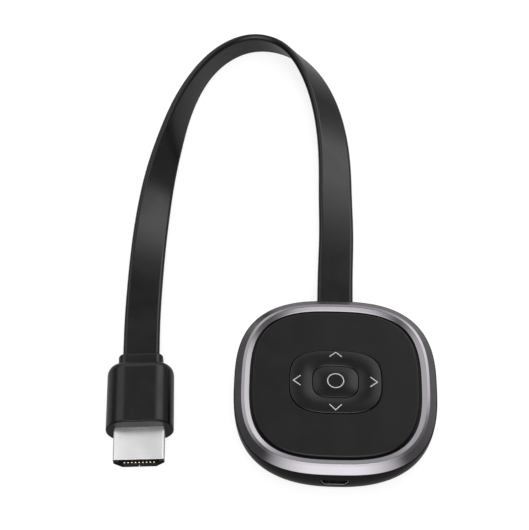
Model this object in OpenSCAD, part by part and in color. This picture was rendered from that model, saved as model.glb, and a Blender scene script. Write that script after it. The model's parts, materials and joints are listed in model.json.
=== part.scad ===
// Wireless display dongle: a flat case with a direction pad, a micro-USB socket and a flat cable to an HDMI plug.
// Millimetres, +Z up. The origin is on the table under the middle of the case, and the cable leaves towards +Y.

/* [Case] */
// Width of the case from side to side
case_w = 55.8; // [54:0.2:62]
// Depth of the case from its socket to its cable
case_d = 55.8; // [54:0.2:62]
// How square the outline is, where 2 is an ellipse
case_power = 2.77; // [2.6:0.01:3.4]
// Height of the top plate above the table
plate_z = 12; // [11.8:0.1:15]
// Distance of the round base from the case's sides
base_in = 3.1; // [2.6:0.1:3.6]
// Height of the curve from the base up to the straight side
belly_h = 8.9; // [8:0.1:9.5]
// How square the base is, where 2 is an ellipse
base_power = 2; // [2:0.05:2.6]
// Radius of the lower edge inside
inner_r = 5.5; // [4.5:0.25:6]
// Thickness of the side wall
wall = 1.5; // [1.2:0.1:1.8]
// Thickness of the floor
floor_t = 1.4; // [1:0.1:1.6]
// Thickness of the top plate
plate_t = 1.3; // [1.1:0.1:1.5]
// Distance of the case screws from the case's sides
screw_inset = 12.1; // [11.5:0.1:12.8]

/* [Bezel] */
// Width of the bezel's sloped outer band, in plan
slope_w = 2.1; // [1.6:0.1:2.4]
// Fall of the sloped outer band
slope_drop = 1.4; // [0.8:0.1:1.6]
// Width of the bezel's crest band
crest_w = 0.8; // [0.5:0.1:1.2]
// Width of the band that slopes in to the plate
lip_w = 1.5; // [1:0.1:1.8]
// Width of the dark groove round the plate
groove_w = 0.5; // [0.3:0.05:0.8]

/* [Keys] */
// Width of the direction pad
pad_w = 25.2; // [24:0.1:26]
// Depth of the direction pad
pad_d = 19.8; // [19.6:0.1:21]
// Place of the pad's centre towards the cable
pad_y = 0.15; // [0:0.05:1]
// Height of the pad's crest above the plate
pad_rise = 0.35; // [0.2:0.05:0.9]
// Width of the select key
key_w = 12.4; // [11.6:0.1:13]
// Depth of the select key
key_d = 9.8; // [9.2:0.1:10.2]
// Gap round each key
key_gap = 0.2; // [0.2:0.05:0.35]
// Radius of the pad's pivot pins
pin_r = 0.3; // [0.25:0.05:0.35]

/* [Boards] */
// Thickness of the main board
board_t = 1; // [0.8:0.1:1.2]
// Space between the floor and the main board
board_gap = 2.45; // [2.3:0.05:2.8]
// Thickness of the key board
key_board_t = 0.8; // [0.6:0.1:0.9]

/* [Socket] */
// Width of the micro-USB shell
usb_w = 7.5; // [7.4:0.05:7.7]
// Height of the micro-USB shell
usb_h = 2.6; // [2.4:0.05:2.8]
// Length of the micro-USB shell
usb_l = 5.6; // [5:0.1:7]

/* [Cable and plug] */
// Width of the flat cable
cord_w = 10.3; // [9.6:0.1:10.8]
// Thickness of the flat cable
cord_t = 2.2; // [1.8:0.1:2.4]
// Width of the HDMI shell
hdmi_w = 13.9; // [13.8:0.05:14]
// Height of the HDMI shell
hdmi_h = 4.45; // [4.4:0.05:4.55]
// Length of the HDMI shell that shows
hdmi_l = 9.8; // [9:0.1:12]
// Width of the plug's body
body_w = 18.6; // [17.6:0.1:20]
// Height of the plug's body
body_h = 11; // [10:0.1:11]
// Length of the plug's body
body_l = 19.7; // [19:0.1:24]
// Width of the strain relief
collar_w = 12.5; // [12:0.1:14]
// Length of the strain relief
collar_l = 3.7; // [2.5:0.1:5]

/* [Hidden] */

$fn = 32;

// Colours
case_black = [0.08, 0.08, 0.085];
satin_black = [0.15, 0.15, 0.155];
cable_black = [0.06, 0.06, 0.065];
gunmetal = [0.5, 0.48, 0.51];
bright_metal = [0.82, 0.82, 0.84];
gold = [0.85, 0.68, 0.32];
board_green = [0.06, 0.3, 0.16];
board_blue = [0.08, 0.2, 0.36];
chip_black = [0.1, 0.1, 0.11];
silicone_grey = [0.42, 0.43, 0.45];
screw_steel = [0.6, 0.6, 0.62];
pad_pink = [0.72, 0.5, 0.55];
part_grey = [0.35, 0.34, 0.33];
ceramic_tan = [0.68, 0.6, 0.48];
plastic_white = [0.85, 0.84, 0.8];
wire_red = [0.6, 0.2, 0.16];

// Clearances: between fitted pieces, round a screw's hole, between faces that only pass, and a cut's overrun
fit = 0.05;
hole_gap = 0.2;
play = 0.3;
overrun = 0.5;

// Number of points on the case's loops, on the keys' loops, on a belly's quarter, and over the pad's crest
case_steps = 96;
key_steps = 72;
belly_steps = 6;
inner_steps = 4;
crest_steps = 10;

// Bezel: how far its crest, its crest band and its lip lie below each other, and its outer upright band
crest_drop = 0.1;
crest_fall = 0.2;
lip_drop = 0.4;
band_h = 0.3;
ledge_w = 1.8;
plate_edge = 1.1;
plate_round = 0.55;
skirt_t = 1.1;
skirt_h = 1.2;
rib_h = 1.1;
bezel_w = slope_w + crest_w + lip_w;
crest_z = plate_z - crest_drop;
slope_top_z = crest_z - crest_fall;
slope_low_z = slope_top_z - slope_drop;
rim_z = slope_low_z - band_h;
lip_z = crest_z - lip_drop;
ledge_z = plate_z - plate_edge;
under_z = plate_z - plate_t;
skirt_in = wall + fit;
plate_in = bezel_w + groove_w;
rib_in = bezel_w + ledge_w + 2 * fit;

// Main board: its outline follows the inner wall at its own height
board_z = floor_t + board_gap;
board_top = board_z + board_t;
board_play = 0.4;
board_in = wall + inner_r * (1 - sin(acos(1 - board_gap / inner_r))) + board_play;
board_x = case_w / 2 - board_in;
board_y = case_d / 2 - board_in;

// Case screws, with the bosses that they pass through and hold
screw_r = 1;
screw_head_r = 1.8;
screw_head_h = 1.3;
screw_sink = 0.6;
screw_l = 8.4;
foot_r = 2.8;
boss_r = 2.2;
screw_x = case_w / 2 - screw_inset;

// Vents in the floor
vent_count = 7;
vent_w = 1;
vent_l = 5;
vent_pitch = 2.6;
vent_in = 10.1;
vent_y = vent_in - case_d / 2;

// Keys: drops of the pad's edges from its crest and of its web and roof from the plate, and shares across it
pad_power = 3;
key_power = 3.1;
pad_edge_drop = 0.2;
pad_inner_drop = 0.35;
pad_web_drop = 1.75;
pad_roof_drop = 1;
crest_share = 0.45;
rib_shares = [0.2, 0.3, 0.75, 0.8];
flange_w = 0.7;
flange_t = 0.6;
plunger_r = 1.2;
key_plunger_r = 1.5;
key_edge_drop = 0.35;
key_flange_w = 0.5;
key_flange_t = 0.5;
key_wall = 1.1;
key_roof = 1.3;
pillow_h = 0.4;
pillow_w = 3.6;
pillow_steps = 5;
pad_top_z = plate_z + pad_rise;
hole_w = key_w + 2 * key_gap;
hole_d = key_d + 2 * key_gap;
hinge_drop = 2.6;
hinge_z = plate_z - hinge_drop;
flange_low = hinge_z - flange_t / 2;
flange_top = hinge_z + flange_t / 2;
plunger_z = flange_low - fit;
key_flange_z = flange_low + 2 * fit;
plunger_x = (pad_w + hole_w) / 4;
plunger_y = (pad_d + hole_d) / 4;

// Rocking frame: a band round the pad's flange, with ears for the pad's pins and pins of its own
frame_gap = 0.4;
frame_band = 1.4;
frame_t = 0.9;
ear_w = 2.4;
ear_t = 1.3;
post_t = 1.3;
post_w = 2;
frame_in_x = pad_w / 2 + flange_w + frame_gap;
frame_in_y = pad_d / 2 + flange_w + frame_gap;
frame_x = frame_in_x + frame_band;
frame_y = frame_in_y + frame_band;
screw_y = pad_y + frame_y + play + boss_r;

// Key board and its silicone mat, down from the plungers
dome_r = 2.3;
dome_top_r = 1.4;
dome_h = 0.7;
mat_t = 0.4;
mat_in = 3.2;
hollow_r = 1.7;
hollow_h = 0.7;
contact_r = 1.4;
key_board_r = 2.5;
dome_z = plunger_z - fit;
mat_z = dome_z - dome_h;
key_board_top = mat_z - mat_t;
key_board_z = key_board_top - key_board_t;
key_screw_r = 0.6;
key_screw_head_r = 1.1;
key_screw_head_h = 0.8;
key_screw_l = 2.9;
key_boss_r = 1.3;
key_screw_in = 1.6;
key_screw_x = frame_x - key_screw_in;
key_screw_y = frame_y - key_screw_in;

// Chips: each one's size, and its place beside its neighbour or as shares of the main board's half sizes
chip_gap = 1.4;
soc_size = [13, 13, 1];
spreader_size = [30, 24, 0.7];
memory_size = [9, 11, 0.9];
memory_at = [-(soc_size.x + memory_size.x) / 2 - chip_gap, 0];
flash_size = [6, 5, 0.9];
flash_share = [0.1, 0.3];
crystal_size = [3.2, 2.5, 0.8];
crystal_at = [flash_share.x * board_x - (flash_size.x + crystal_size.x) / 2 - chip_gap, flash_share.y * board_y];
coil_size = [4, 4, 1.2];
coil_share = 0.62;
power_size = [4, 4, 0.85];
power_share = -0.56;
power_at = [(power_size.x + chip_gap) / 2, power_share * board_y];
coil_places = [[coil_share * board_x, (coil_size.y + chip_gap) / 2],
    [coil_share * board_x, -(coil_size.y + chip_gap) / 2], [-(coil_size.x + chip_gap) / 2, power_at.y]];
capacitor_size = [1.6, 0.8, 0.8];
capacitor_shares = [[-0.36, 0.3], [-0.36, 0.38], [0.36, 0.24], [0.36, 0.34], [0.22, -0.72], [0.34, -0.72],
    [-0.2, -0.72], [-0.32, -0.72], [0.1, 0.06], [0.1, -0.02]];
wifi_size = [12.2, 12.4, 0.8];
can_size = [10, 9, 1.3];
can_wall = 0.2;
antenna_size = [1.6, 6, 1];
antenna_share = [-0.9, -0.16];
antenna_at = [antenna_share.x * board_x, antenna_share.y * board_y];
wifi_at = [antenna_at.x + (antenna_size.x + wifi_size.x) / 2 + chip_gap, antenna_at.y];
link_size = [7, 3, 1.1];
link_share = [0.36, -0.3];

// Micro-USB socket, wide side up
usb_wall = 0.25;
usb_low_w = 5.4;
usb_side_share = 0.44;
usb_recess = 0.4;
usb_gap = 0.2;
tongue_w = 4.6;
tongue_t = 0.6;
tongue_l = 4;
tongue_lift = 0.3;
usb_pin_w = 0.3;
usb_pin_t = 0.1;
usb_pin_pitch = 0.65;
usb_pins = 5;
usb_z = board_top + usb_h / 2;
usb_y = -case_d / 2 + usb_recess;

// Cable's end in the case: a grommet in the rear wall, the flat tail on the board, and a clamp over it
grommet_wall = 0.9;
grommet_flange_w = 1;
grommet_flange_t = 1;
exit_recess = 0.4;
tail_in = 10.9;
clamp_in = 7.4;
clamp_d = 3.2;
clamp_t = 1.2;
clamp_foot_w = 3.6;
clamp_screw_r = 0.7;
clamp_head_r = 1.2;
clamp_head_h = 0.8;
clamp_screw_l = 5.6;
clamp_post_r = 1.7;
wire_r = 0.18;
wire_count = 19;
wire_pitch = 0.5;
wire_l = 2.2;
cable_z = board_top + fit + cord_t / 2;
exit_y = case_d / 2 - exit_recess;
grommet_in_y = board_y - play;
tail_y = case_d / 2 - tail_in;
clamp_y = case_d / 2 - clamp_in;
clamp_x = cord_w / 2 + play + clamp_foot_w / 2;
clamp_w = 2 * clamp_x + clamp_foot_w;
slot_w = cord_w + 2 * grommet_wall;
slot_h = cord_t + 2 * grommet_wall;

// Flat cable: its edge radius, the points on each corner of its section, and the steps between its route's points
cord_round_share = 0.45;
cord_corner_steps = 2;
route_steps = 3;
// Each point's place right and back of the exit, its height above the table, and its lean in degrees, where 0 lies
// flat, 90 stands on edge and 180 lies flat with its other face up
cable_route = [[0, 0, 6, 0], [0, 13.5, 6, 0], [0.5, 27, 6, 3], [0, 40.5, 5.9, 8], [0, 54, 5.8, 15],
    [-1, 67.5, 5.7, 24], [-3.5, 81, 5.6, 34], [-8, 93.5, 5.5, 46], [-15.5, 104.5, 5.4, 63], [-28, 107.5, 5.4, 74],
    [-39, 99.5, 5.4, 85], [-45.5, 87.5, 5.4, 98], [-49.5, 75, 5.4, 113], [-52, 61.5, 5.4, 128],
    [-54, 48.5, 5.4, 143], [-55, 35, 5.4, 158], [-55.5, 21.5, 5.5, 170], [-55.5, 8, 5.5, 177],
    [-55.3, -5, 5.5, 180], [-54.57, -17.3, 5.5, 180]];

// Plug, along its own axis from the cable to its tip
collar_h = 6;
collar_r = 2;
collar_taper = 0.8;
body_flat = 0.4;
body_r = (body_h - body_flat) / 2;
shoulder_l = 2.7;
shoulder_in = 2;
shoulder_steps = 5;
corner_steps = 6;
hdmi_wall = 0.3;
hdmi_low_w = 9.2;
hdmi_side_share = 0.52;
hdmi_root = 4.6;
seam_w = 0.15;
mouth_recess = 0.4;
slot_wide = 11;
slot_tall = 1.9;
slot_deep = 8.2;
pin_w = 0.45;
pin_t = 0.15;
pin_pitch = 1;
pin_recess = 0.5;
pins_up = 10;
pins_low = 9;
insulator_l = 13.6;
card_w = 12;
card_t = 1;
card_l = 8;
can_w = 14;
can_h = 5.8;
can_t = 0.3;
can_l = 8.9;
plug_tail_in = 6.5;
plug_at = cable_route[len(cable_route) - 1];
plug_from = cable_route[len(cable_route) - 2];
plug_turn = atan2(plug_at.x - plug_from.x, plug_from.y - plug_at.y);
plug_tail_l = collar_l + plug_tail_in;
body_end = collar_l + body_l;
tip = body_end + hdmi_l;
shell_back = body_end - hdmi_root;
insulator_back = tip - mouth_recess - insulator_l;
card_back = insulator_back - card_l;

// Number with its sign kept, raised to a power
function power(v, e) = sign(v) * pow(abs(v), e);

// Value between two others, by a share
function mix(a, b, share) = a + (b - a) * share;

// Soft-cornered loop of given half sizes at one height
function soft_loop(half_x, half_y, e, centre_y, z, steps) = [for (i = [0:steps - 1])
    let (a = 360 * i / steps)
    [half_x * power(cos(a), 2 / e), centre_y + half_y * power(sin(a), 2 / e), z]];

// The case's outline moved in by an even distance, at one height
function case_loop(inset, z) = [for (i = [0:case_steps - 1])
    let (
        a = 360 * i / case_steps,
        across = power(cos(a), 2 - 2 / case_power) / case_w,
        along = power(sin(a), 2 - 2 / case_power) / case_d,
        size = norm([across, along]))
    [case_w / 2 * power(cos(a), 2 / case_power) - inset * across / size,
        case_d / 2 * power(sin(a), 2 / case_power) - inset * along / size, z]];

// Loop of the case's outside at a share of the way from the straight side down to the base
function belly_loop(share, z) = let (e = mix(case_power, base_power, share), inset = base_in * share)
    [for (i = [0:case_steps - 1]) let (a = 360 * i / case_steps)
        [(case_w / 2 - inset) * power(cos(a), 2 / e), (case_d / 2 - inset) * power(sin(a), 2 / e), z]];

// Loop of the pad at a share of the way from its outer edge to its hole, moved out by a length
function pad_loop(share, out, z) = soft_loop(mix(pad_w, hole_w, share) / 2 + out,
    mix(pad_d, hole_d, share) / 2 + out, mix(pad_power, key_power, share), pad_y, z, key_steps);

// Height of the pad's top at a share of the way in
function pad_top(share) = share < crest_share
    ? mix(pad_top_z - pad_edge_drop, pad_top_z, sin(90 * share / crest_share))
    : mix(pad_top_z - pad_inner_drop, pad_top_z, sin(90 * (1 - share) / (1 - crest_share)));

// Loop of the select key, moved in by a length
function key_loop(inset, z) = soft_loop(key_w / 2 - inset, key_d / 2 - inset, key_power, pad_y, z, key_steps);

// Rectangle with round corners, as points
function round_rect(half_x, half_y, r, steps) = [for (c = [0:3]) for (k = [0:steps])
    let (a = 90 * (c + k / steps), sx = c == 0 || c == 3 ? 1 : -1, sy = c < 2 ? 1 : -1)
    [sx * (half_x - r) + r * cos(a), sy * (half_y - r) + r * sin(a)]];

// Outline of a socket or plug shell whose lower corners are cut off, wide side up
function port_outline(w, h, low_w, side_share) = [[-w / 2, h / 2], [-w / 2, h / 2 - h * side_share],
    [-low_w / 2, -h / 2], [low_w / 2, -h / 2], [w / 2, h / 2 - h * side_share], [w / 2, h / 2]];

// Four places, left and right, front and back
function corners(x, y) = [for (sx = [-1, 1]) for (sy = [-1, 1]) [sx * x, sy * y]];

// Place on the main board from shares of its half sizes
function on_board(share) = [share.x * board_x, share.y * board_y];

// Places of the five domes
dome_places = [[0, pad_y], [plunger_x, pad_y], [-plunger_x, pad_y], [0, pad_y + plunger_y],
    [0, pad_y - plunger_y]];

// Route of the cable: a smooth curve that starts and ends on the route's end points
function blend4(a, b, c, d, t) = (pow(1 - t, 3) * a + (3 * pow(t, 3) - 6 * pow(t, 2) + 4) * b
    + (-3 * pow(t, 3) + 3 * pow(t, 2) + 3 * t + 1) * c + pow(t, 3) * d) / 6;
function ends_added(p) = concat([2 * p[0] - p[1]], p, [2 * p[len(p) - 1] - p[len(p) - 2]]);
function smooth_route(p) = let (q = ends_added(p), last = len(p) - 2) [for (i = [0:last])
    for (k = [0:i == last ? route_steps : route_steps - 1])
    blend4(q[i], q[i + 1], q[i + 2], q[i + 3], k / route_steps)];
function flat_unit(v) = [v.x, v.y] / norm([v.x, v.y]);
function heading(path, i) = i == 0 ? flat_unit(cable_route[1] - cable_route[0])
    : i == len(path) - 1 ? flat_unit(plug_at - plug_from)
    : flat_unit(path[i + 1] - path[i - 1]);

// Section of the cable, first across its width and then through its thickness
cord_section = round_rect(cord_w / 2, cord_t / 2, cord_t * cord_round_share, cord_corner_steps);

// Ring of the cable's surface at one place of its path
function cord_ring(path, i) = let (
        ahead = heading(path, i),
        left = [-ahead.y, ahead.x, 0],
        lean = path[i][3],
        across = cos(lean) * left + [0, 0, sin(lean)],
        through = [0, 0, cos(lean)] - sin(lean) * left,
        centre = [path[i].x, exit_y + path[i].y, path[i].z])
    [for (q = cord_section) centre + q.x * across + q.y * through];

// Loops of the lower shell, up its outside and down its inside
shell_loops = concat(
    [for (k = [0:belly_steps]) let (a = 90 * k / belly_steps) belly_loop(1 - sin(a), belly_h * (1 - cos(a)))],
    [case_loop(0, rim_z), case_loop(wall, rim_z)],
    [for (k = [inner_steps:-1:0]) let (a = 90 * k / inner_steps)
        case_loop(wall + inner_r * (1 - sin(a)), floor_t + inner_r * (1 - cos(a)))]);

// Profiles as pairs of inset and height
bezel_profile = [[0, rim_z], [0, slope_low_z], [slope_w, slope_top_z], [slope_w + crest_w, crest_z],
    [bezel_w, lip_z], [bezel_w, ledge_z], [bezel_w + ledge_w, ledge_z], [bezel_w + ledge_w, rim_z],
    [skirt_in + skirt_t, rim_z], [skirt_in + skirt_t, rim_z - skirt_h], [skirt_in, rim_z - skirt_h],
    [skirt_in, rim_z]];
cover_profile = concat(
    [[rib_in + skirt_t, under_z], [rib_in + skirt_t, under_z - rib_h], [rib_in, under_z - rib_h],
        [rib_in, ledge_z], [plate_in, ledge_z]],
    [for (a = [0:30:90]) [plate_in + plate_round * (1 - cos(a)), plate_z - plate_round * (1 - sin(a))]]);
pad_profile = concat([[0, flange_w, flange_low], [0, flange_w, flange_top], [0, 0, flange_top]],
    [for (k = [0:crest_steps]) [k / crest_steps, 0, pad_top(k / crest_steps)]],
    [[1, 0, plate_z - pad_web_drop], [rib_shares[3], 0, plate_z - pad_web_drop],
        [rib_shares[2], 0, plate_z - pad_roof_drop], [rib_shares[1], 0, plate_z - pad_roof_drop],
        [rib_shares[0], 0, flange_low]]);
key_profile = concat([[-key_flange_w, key_flange_z], [-key_flange_w, key_flange_z + key_flange_t],
        [0, key_flange_z + key_flange_t]],
    [for (k = [0:pillow_steps]) let (share = k / pillow_steps)
        [pillow_w * share, pad_top_z - key_edge_drop + pillow_h * sin(90 * share)]]);

// Closed solid through level loops, from the first to the last
module stack(loops) {
    n = len(loops[0]);
    top = len(loops) - 1;
    polyhedron(points = [for (l = loops) each l], faces = concat(
        [[for (i = [0:n - 1]) i]],
        [for (j = [0:top - 1]) for (i = [0:n - 1]) let (k = (i + 1) % n) each
            [[j * n + i, (j + 1) * n + i, (j + 1) * n + k], [j * n + i, (j + 1) * n + k, j * n + k]]],
        [[for (i = [n - 1:-1:0]) top * n + i]]));
}

// Closed ring through loops, where the last joins the first
module ring_of(loops) {
    n = len(loops[0]);
    count = len(loops);
    polyhedron(points = [for (l = loops) each l], faces =
        [for (j = [0:count - 1]) for (i = [0:n - 1]) let (k = (i + 1) % n, up = (j + 1) % count) each
            [[j * n + i, up * n + i, up * n + k], [j * n + i, up * n + k, j * n + k]]]);
}

// Upright prism over a list of points
module prism(points, low, high) {
    translate([0, 0, low]) linear_extrude(high - low) polygon([for (p = points) [p.x, p.y]]);
}

// Upright rod
module rod(at, r, low, high) {
    translate([at.x, at.y, low]) cylinder(r = r, h = high - low);
}

// Block by its middle in plan, its size and its underside
module block(at, size, low) {
    translate([at.x - size.x / 2, at.y - size.y / 2, low]) cube(size);
}

// Screw with its head below its shank
module screw_up(at, head_r, head_h, r, l, low) {
    rod(at, head_r, low, low + head_h);
    rod(at, r, low + head_h - fit, low + head_h + l);
}

// Puts a shape drawn flat, X right and Y up, into the socket or plug, with its Z towards the tip
module facing_front(at) {
    translate(at) rotate([90, 0, 0]) children();
}

// The same, from the cable's far end towards the plug's tip
module plug_place() {
    translate([plug_at.x, exit_y + plug_at.y, plug_at.z]) rotate([0, 0, plug_turn])
        facing_front([0, 0, 0]) children();
}

// Flat piece drawn with Y up, between two places along the plug
module along(low, high) {
    translate([0, 0, low]) linear_extrude(high - low) children();
}

module bottom_shell() {
    color(case_black) difference() {
        union() {
            stack(shell_loops);
            for (at = corners(screw_x, screw_y)) rod(at, foot_r, floor_t / 2, board_z);
            for (side = [-1, 1]) rod([side * clamp_x, clamp_y], clamp_post_r, floor_t / 2, board_z);
        }
        for (at = corners(screw_x, screw_y)) {
            rod(at, screw_head_r + hole_gap, -overrun, screw_sink + screw_head_h);
            rod(at, screw_r + hole_gap, 0, board_z + overrun);
        }
        for (side = [-1, 1]) rod([side * clamp_x, clamp_y], clamp_screw_r + fit, floor_t, board_z + overrun);
        for (i = [0:vent_count - 1])
            block([(i - (vent_count - 1) / 2) * vent_pitch, vent_y], [vent_w, vent_l, floor_t + 2 * overrun],
                -overrun);
        facing_front([0, usb_y, usb_z]) along(-2 * wall, 2 * wall)
            polygon(port_outline(usb_w + 2 * usb_gap, usb_h + 2 * usb_gap, usb_low_w + 2 * usb_gap,
                usb_side_share));
        facing_front([0, exit_y, cable_z]) along(-2 * wall, wall + inner_r)
            square([slot_w + 2 * fit, slot_h + 2 * fit], center = true);
    }
}

module bezel_ring() {
    color(gunmetal) ring_of([for (p = bezel_profile) case_loop(p.x, p.y)]);
}

module top_cover() {
    color(satin_black) difference() {
        union() {
            stack([for (p = cover_profile) case_loop(p.x, p.y)]);
            intersection() {
                for (at = corners(screw_x, screw_y)) rod(at, boss_r, board_top, under_z + overrun);
                union() {
                    prism(case_loop(rib_in, 0), 0, plate_z);
                    prism(case_loop(skirt_in + skirt_t + fit, 0), 0, rim_z - fit);
                }
            }
            for (at = corners(key_screw_x, key_screw_y))
                rod([at.x, pad_y + at.y], key_boss_r, key_board_top, under_z + overrun);
            for (side = [-1, 1])
                block([side * (frame_x + play + post_t / 2), pad_y],
                    [post_t, post_w, under_z + overrun - plunger_z + play], plunger_z - play);
        }
        prism(soft_loop(pad_w / 2 + key_gap, pad_d / 2 + key_gap, pad_power, pad_y, 0, key_steps),
            ledge_z - plate_edge, plate_z + overrun);
        for (at = corners(screw_x, screw_y))
            rod(at, screw_r + fit, board_top - overrun, screw_sink + screw_head_h + screw_l);
        for (at = corners(key_screw_x, key_screw_y))
            rod([at.x, pad_y + at.y], key_screw_r + fit, key_board_top - overrun,
                key_board_z + key_screw_l + play);
        translate([-frame_x - play - post_t - overrun, pad_y, hinge_z]) rotate([0, 90, 0])
            cylinder(r = pin_r + fit, h = 2 * (frame_x + play + post_t + overrun));
    }
}

module case_screws() {
    color(screw_steel) for (at = corners(screw_x, screw_y))
        screw_up(at, screw_head_r, screw_head_h, screw_r, screw_l - play, screw_sink);
}

module gimbal_frame() {
    color(plastic_white) difference() {
        union() {
            difference() {
                prism(soft_loop(frame_x, frame_y, pad_power, pad_y, 0, key_steps),
                    hinge_z - frame_t / 2, hinge_z + frame_t / 2);
                prism(soft_loop(frame_in_x, frame_in_y, pad_power, pad_y, 0, key_steps),
                    hinge_z - frame_t, hinge_z + frame_t);
            }
            for (side = [-1, 1]) {
                block([0, pad_y + side * (frame_y - frame_band / 2)], [ear_w, frame_band, ear_t],
                    hinge_z - ear_t / 2);
                translate([side * (frame_x - frame_band / 2), pad_y, hinge_z]) rotate([0, side * 90, 0])
                    cylinder(r = pin_r, h = frame_band / 2 + play + post_t - 2 * fit);
            }
        }
        translate([0, pad_y - frame_y - overrun, hinge_z]) rotate([-90, 0, 0])
            cylinder(r = pin_r + fit, h = 2 * (frame_y + overrun));
    }
}

module dpad_ring() {
    color(satin_black) {
        ring_of([for (p = pad_profile) pad_loop(p[0], p[1], p[2])]);
        for (side = [-1, 1]) {
            rod([side * plunger_x, pad_y], plunger_r, plunger_z, plate_z - pad_roof_drop + fit);
            rod([0, pad_y + side * plunger_y], plunger_r, plunger_z, plate_z - pad_roof_drop + fit);
            translate([0, pad_y + side * (pad_d / 2), hinge_z]) rotate([-side * 90, 0, 0])
                cylinder(r = pin_r, h = frame_y - pad_d / 2 - 2 * fit);
        }
    }
}

module centre_key() {
    color(satin_black) {
        difference() {
            stack([for (p = key_profile) key_loop(p.x, p.y)]);
            prism(key_loop(key_wall, 0), key_flange_z - overrun, plate_z - key_roof);
        }
        rod([0, pad_y], key_plunger_r, plunger_z, plate_z - key_roof + fit);
    }
}

module keypad_mat() {
    color(silicone_grey) difference() {
        union() {
            prism(soft_loop(frame_x - mat_in, frame_y - mat_in, pad_power, pad_y, 0, key_steps),
                key_board_top, mat_z);
            for (at = dome_places) translate([at.x, at.y, mat_z])
                cylinder(r1 = dome_r, r2 = dome_top_r, h = dome_h);
        }
        for (at = dome_places) rod(at, hollow_r, key_board_top - overrun, key_board_top + hollow_h);
    }
}

module key_contacts() {
    color(gold) for (at = dome_places) rod(at, contact_r, key_board_top, key_board_top + fit);
}

module key_board() {
    color(board_blue) difference() {
        prism([for (p = round_rect(frame_x, frame_y, key_board_r, corner_steps)) [p.x, p.y + pad_y]],
            key_board_z, key_board_top);
        for (at = corners(key_screw_x, key_screw_y))
            rod([at.x, pad_y + at.y], key_screw_r + 2 * fit, key_board_z - overrun, key_board_top + overrun);
    }
}

module key_screws() {
    color(screw_steel) for (at = corners(key_screw_x, key_screw_y))
        screw_up([at.x, pad_y + at.y], key_screw_head_r, key_screw_head_h, key_screw_r, key_screw_l,
            key_board_z - key_screw_head_h);
}

module link_plug() {
    color(plastic_white) block(on_board(link_share), [link_size.x, link_size.y,
        key_board_z - board_top - link_size.z], board_top + link_size.z);
}

module link_socket() {
    color(part_grey) block(on_board(link_share), link_size, board_top);
}

module main_pcb() {
    color(board_green) difference() {
        prism(case_loop(board_in, 0), board_z, board_top);
        for (at = corners(screw_x, screw_y)) rod(at, screw_r + hole_gap, board_z - overrun, board_top + overrun);
        for (side = [-1, 1])
            rod([side * clamp_x, clamp_y], clamp_screw_r + 2 * fit, board_z - overrun, board_top + overrun);
        block([0, board_y], [slot_w + 2 * grommet_flange_w + 2 * play, 2 * (grommet_flange_t + 2 * play),
            board_t + 2 * overrun], board_z - overrun);
    }
}

module soc_chip() {
    color(chip_black) block([0, 0], soc_size, board_z - soc_size.z);
}

module thermal_pad() {
    color(pad_pink) block([0, 0], [soc_size.x - 2 * play, soc_size.y - 2 * play,
        board_gap - soc_size.z - spreader_size.z], floor_t + spreader_size.z);
}

module heat_spreader() {
    color(bright_metal) block([0, 0], spreader_size, floor_t);
}

module memory_chip() {
    color(chip_black) block(memory_at, memory_size, board_z - memory_size.z);
}

module flash_chip() {
    color(chip_black) block(on_board(flash_share), flash_size, board_top);
}

module power_chip() {
    color(chip_black) block(power_at, power_size, board_top);
}

module crystal() {
    color(bright_metal) block(crystal_at, crystal_size, board_top);
}

module inductors() {
    color(part_grey) for (at = coil_places) block(at, coil_size, board_top);
}

module capacitors() {
    color(ceramic_tan) for (share = capacitor_shares) block(on_board(share), capacitor_size, board_top);
}

module wifi_board() {
    color(board_blue) block(wifi_at, wifi_size, board_top);
}

module wifi_can() {
    color(bright_metal) difference() {
        block(wifi_at, can_size, board_top + wifi_size.z);
        block(wifi_at, [can_size.x - 2 * can_wall, can_size.y - 2 * can_wall, can_size.z],
            board_top + wifi_size.z - can_wall);
    }
}

module wifi_antenna() {
    color(ceramic_tan) block(antenna_at, antenna_size, board_top);
}

module micro_usb_shell() {
    color(bright_metal) facing_front([0, usb_y, usb_z]) difference() {
        along(-usb_l, 0) polygon(port_outline(usb_w, usb_h, usb_low_w, usb_side_share));
        along(-usb_l + usb_wall, overrun) polygon(port_outline(usb_w - 2 * usb_wall, usb_h - 2 * usb_wall,
            usb_low_w - usb_wall, usb_side_share));
    }
}

module micro_usb_tongue() {
    color(chip_black) facing_front([0, usb_y, usb_z]) along(-usb_l + usb_wall, -usb_l + usb_wall + tongue_l)
        translate([-tongue_w / 2, tongue_lift - tongue_t / 2]) square([tongue_w, tongue_t]);
}

module micro_usb_contacts() {
    color(gold) facing_front([0, usb_y, usb_z]) for (i = [0:usb_pins - 1])
        along(-usb_l + usb_wall, -usb_l + usb_wall + tongue_l - play)
            translate([(i - (usb_pins - 1) / 2) * usb_pin_pitch - usb_pin_w / 2,
                tongue_lift - tongue_t / 2 - usb_pin_t]) square([usb_pin_w, usb_pin_t]);
}

module cable_grommet() {
    color(cable_black) facing_front([0, exit_y, cable_z]) difference() {
        union() {
            along(0, exit_y - grommet_in_y + grommet_flange_t) square([slot_w, slot_h], center = true);
            along(exit_y - grommet_in_y, exit_y - grommet_in_y + grommet_flange_t)
                square([slot_w + 2 * grommet_flange_w, slot_h], center = true);
        }
        along(-overrun, exit_y - tail_y) square([cord_w + 2 * fit, cord_t + 2 * fit], center = true);
    }
}

module cable_tail() {
    color(cable_black) facing_front([0, exit_y, cable_z]) along(0, exit_y - tail_y)
        polygon(cord_section);
}

module cable_wires() {
    color(wire_red) for (i = [0:wire_count - 1])
        translate([(i - (wire_count - 1) / 2) * wire_pitch, tail_y - wire_l, board_top + fit + wire_r])
            rotate([-90, 0, 0]) cylinder(r = wire_r, h = wire_l);
}

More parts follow.
